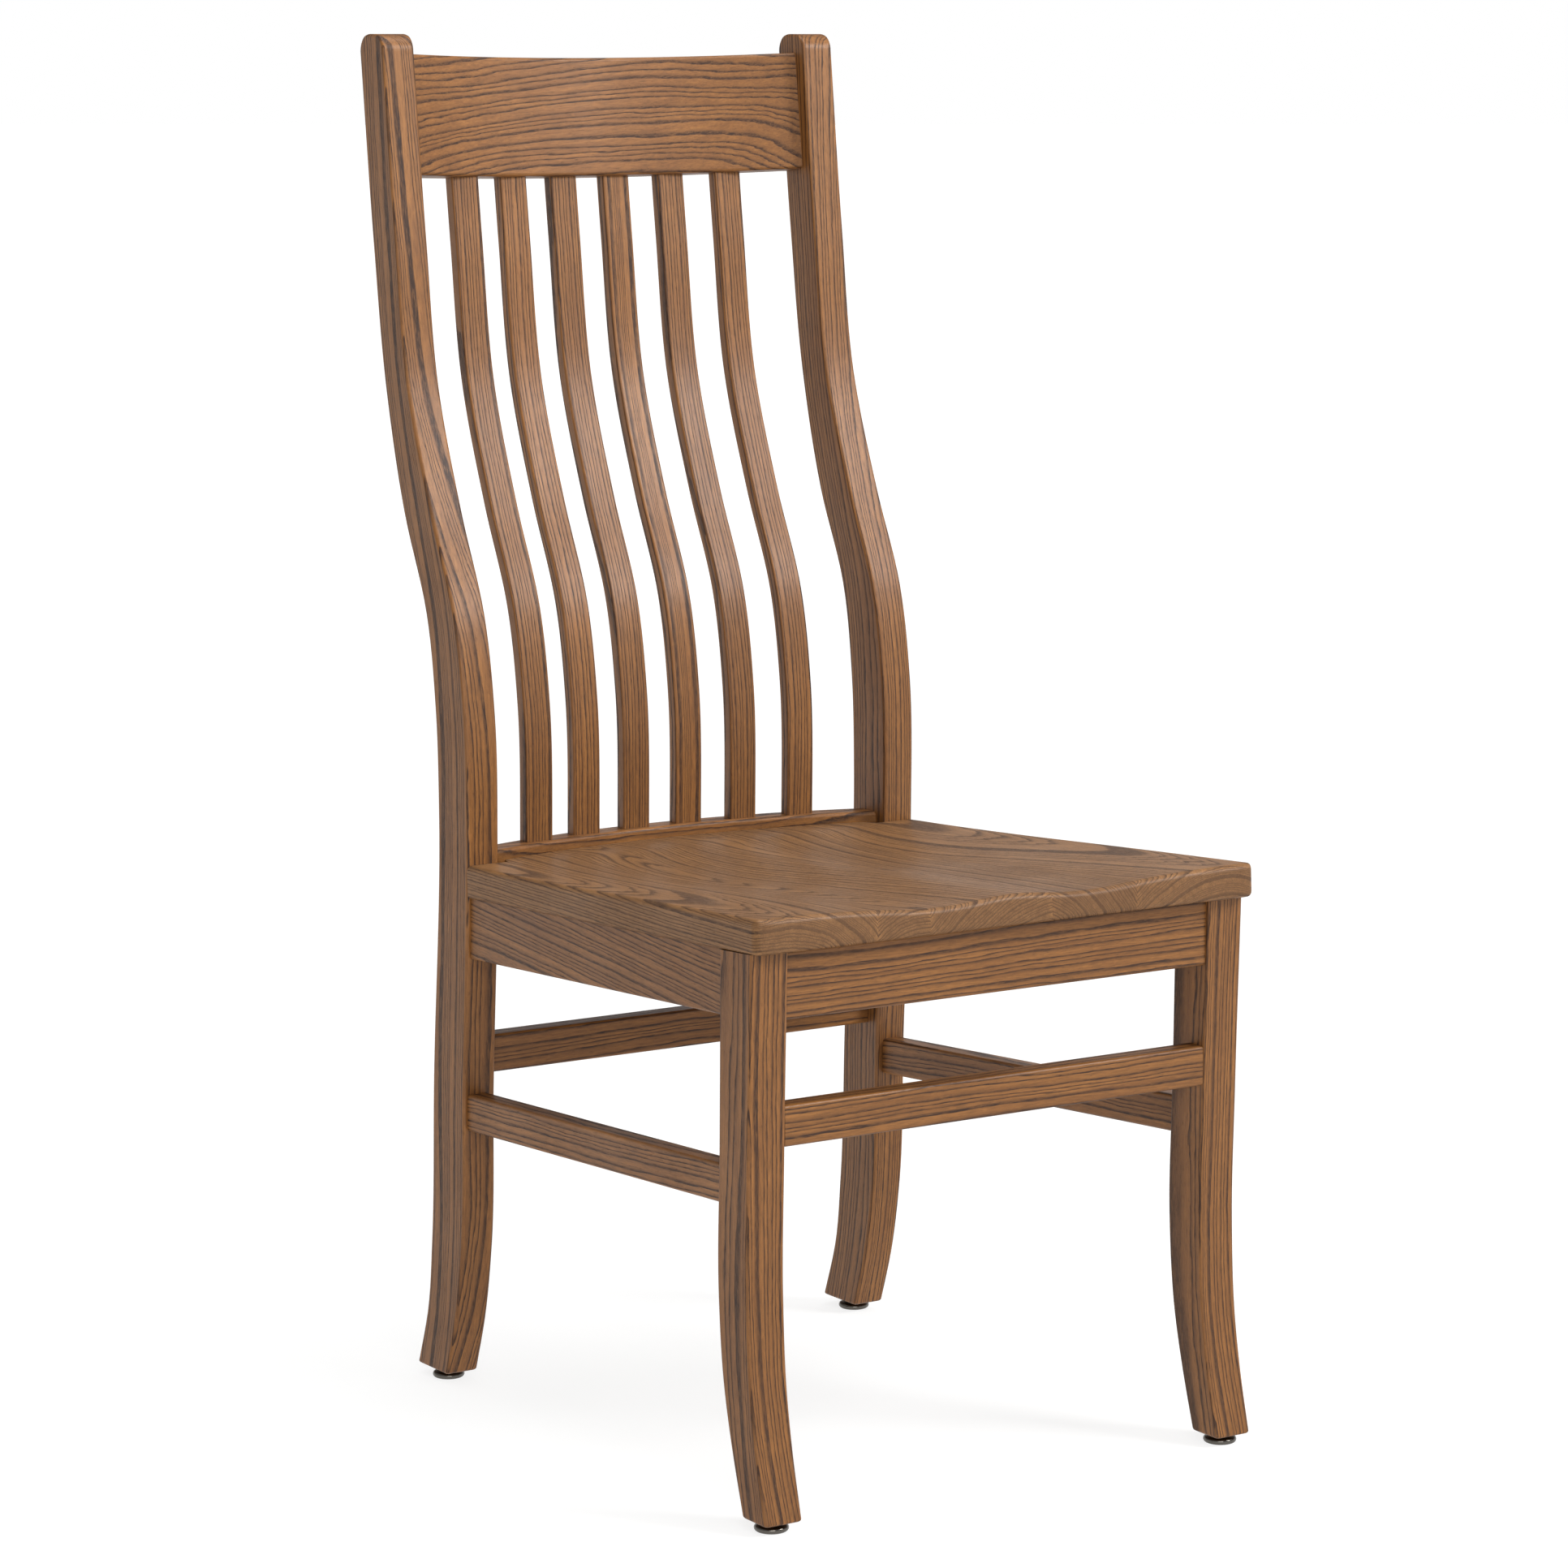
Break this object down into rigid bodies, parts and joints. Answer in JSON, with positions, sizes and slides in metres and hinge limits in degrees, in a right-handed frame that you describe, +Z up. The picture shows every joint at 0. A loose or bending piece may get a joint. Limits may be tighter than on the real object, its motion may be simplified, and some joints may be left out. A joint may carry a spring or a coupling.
{
  "type": "dining chair",
  "caption": "High-backed oak dining chair with bowed crest rail, curved back slats, scooped solid seat, sabre feet, stretchers and levelling glides.",
  "frame": {"origin": "on the floor, at the middle of the chair's bounding box", "axes": "+Z up; -Y is the way the sitter faces; +X is on the right of someone looking at the chair's front"},
  "size_m": [0.456, 0.6396, 1.084],
  "materials": {
    "stained_oak": "medium brown stain under satin lacquer",
    "seat_oak": "medium brown stain under satin lacquer, slightly greyer",
    "block_oak": "stained, unpolished",
    "nickel_plate": "polished dark nickel plate",
    "zinc_steel": "dull zinc plate"
  },
  "bodies": {
    "root": {"left_rear_post": "stained_oak", "right_rear_post": "stained_oak", "left_front_leg": "stained_oak", "right_front_leg": "stained_oak", "crest_rail": "stained_oak", "lower_back_rail": "stained_oak", "back_slat_1": "stained_oak", "back_slat_2": "stained_oak", "back_slat_3": "stained_oak", "back_slat_4": "stained_oak", "back_slat_5": "stained_oak", "back_slat_6": "stained_oak", "seat_board_1": "seat_oak", "seat_board_2": "seat_oak", "seat_board_3": "seat_oak", "seat_board_4": "seat_oak", "seat_board_5": "seat_oak", "front_apron": "stained_oak", "left_side_apron": "stained_oak", "right_side_apron": "stained_oak", "front_stretcher": "stained_oak", "rear_stretcher": "stained_oak", "left_side_stretcher": "stained_oak", "right_side_stretcher": "stained_oak", "front_left_corner_block": "block_oak", "front_right_corner_block": "block_oak", "rear_left_corner_block": "block_oak", "rear_right_corner_block": "block_oak", "seat_screws": "zinc_steel", "threaded_inserts": "zinc_steel"},
    "front_left_glide": {"front_left_glide_pad": "nickel_plate", "front_left_glide_stem": "zinc_steel"},
    "front_right_glide": {"front_right_glide_pad": "nickel_plate", "front_right_glide_stem": "zinc_steel"},
    "rear_left_glide": {"rear_left_glide_pad": "nickel_plate", "rear_left_glide_stem": "zinc_steel"},
    "rear_right_glide": {"rear_right_glide_pad": "nickel_plate", "rear_right_glide_stem": "zinc_steel"}
  },
  "joints": [
    {"name": "front_left_glide_level", "type": "slide", "parent": "root", "child": "front_left_glide", "axis": [0, 0, -1], "range_m": [0, 0.01]},
    {"name": "front_right_glide_level", "type": "slide", "parent": "root", "child": "front_right_glide", "axis": [0, 0, -1], "range_m": [0, 0.01]},
    {"name": "rear_left_glide_level", "type": "slide", "parent": "root", "child": "rear_left_glide", "axis": [0, 0, -1], "range_m": [0, 0.01]},
    {"name": "rear_right_glide_level", "type": "slide", "parent": "root", "child": "rear_right_glide", "axis": [0, 0, -1], "range_m": [0, 0.01]}
  ]
}
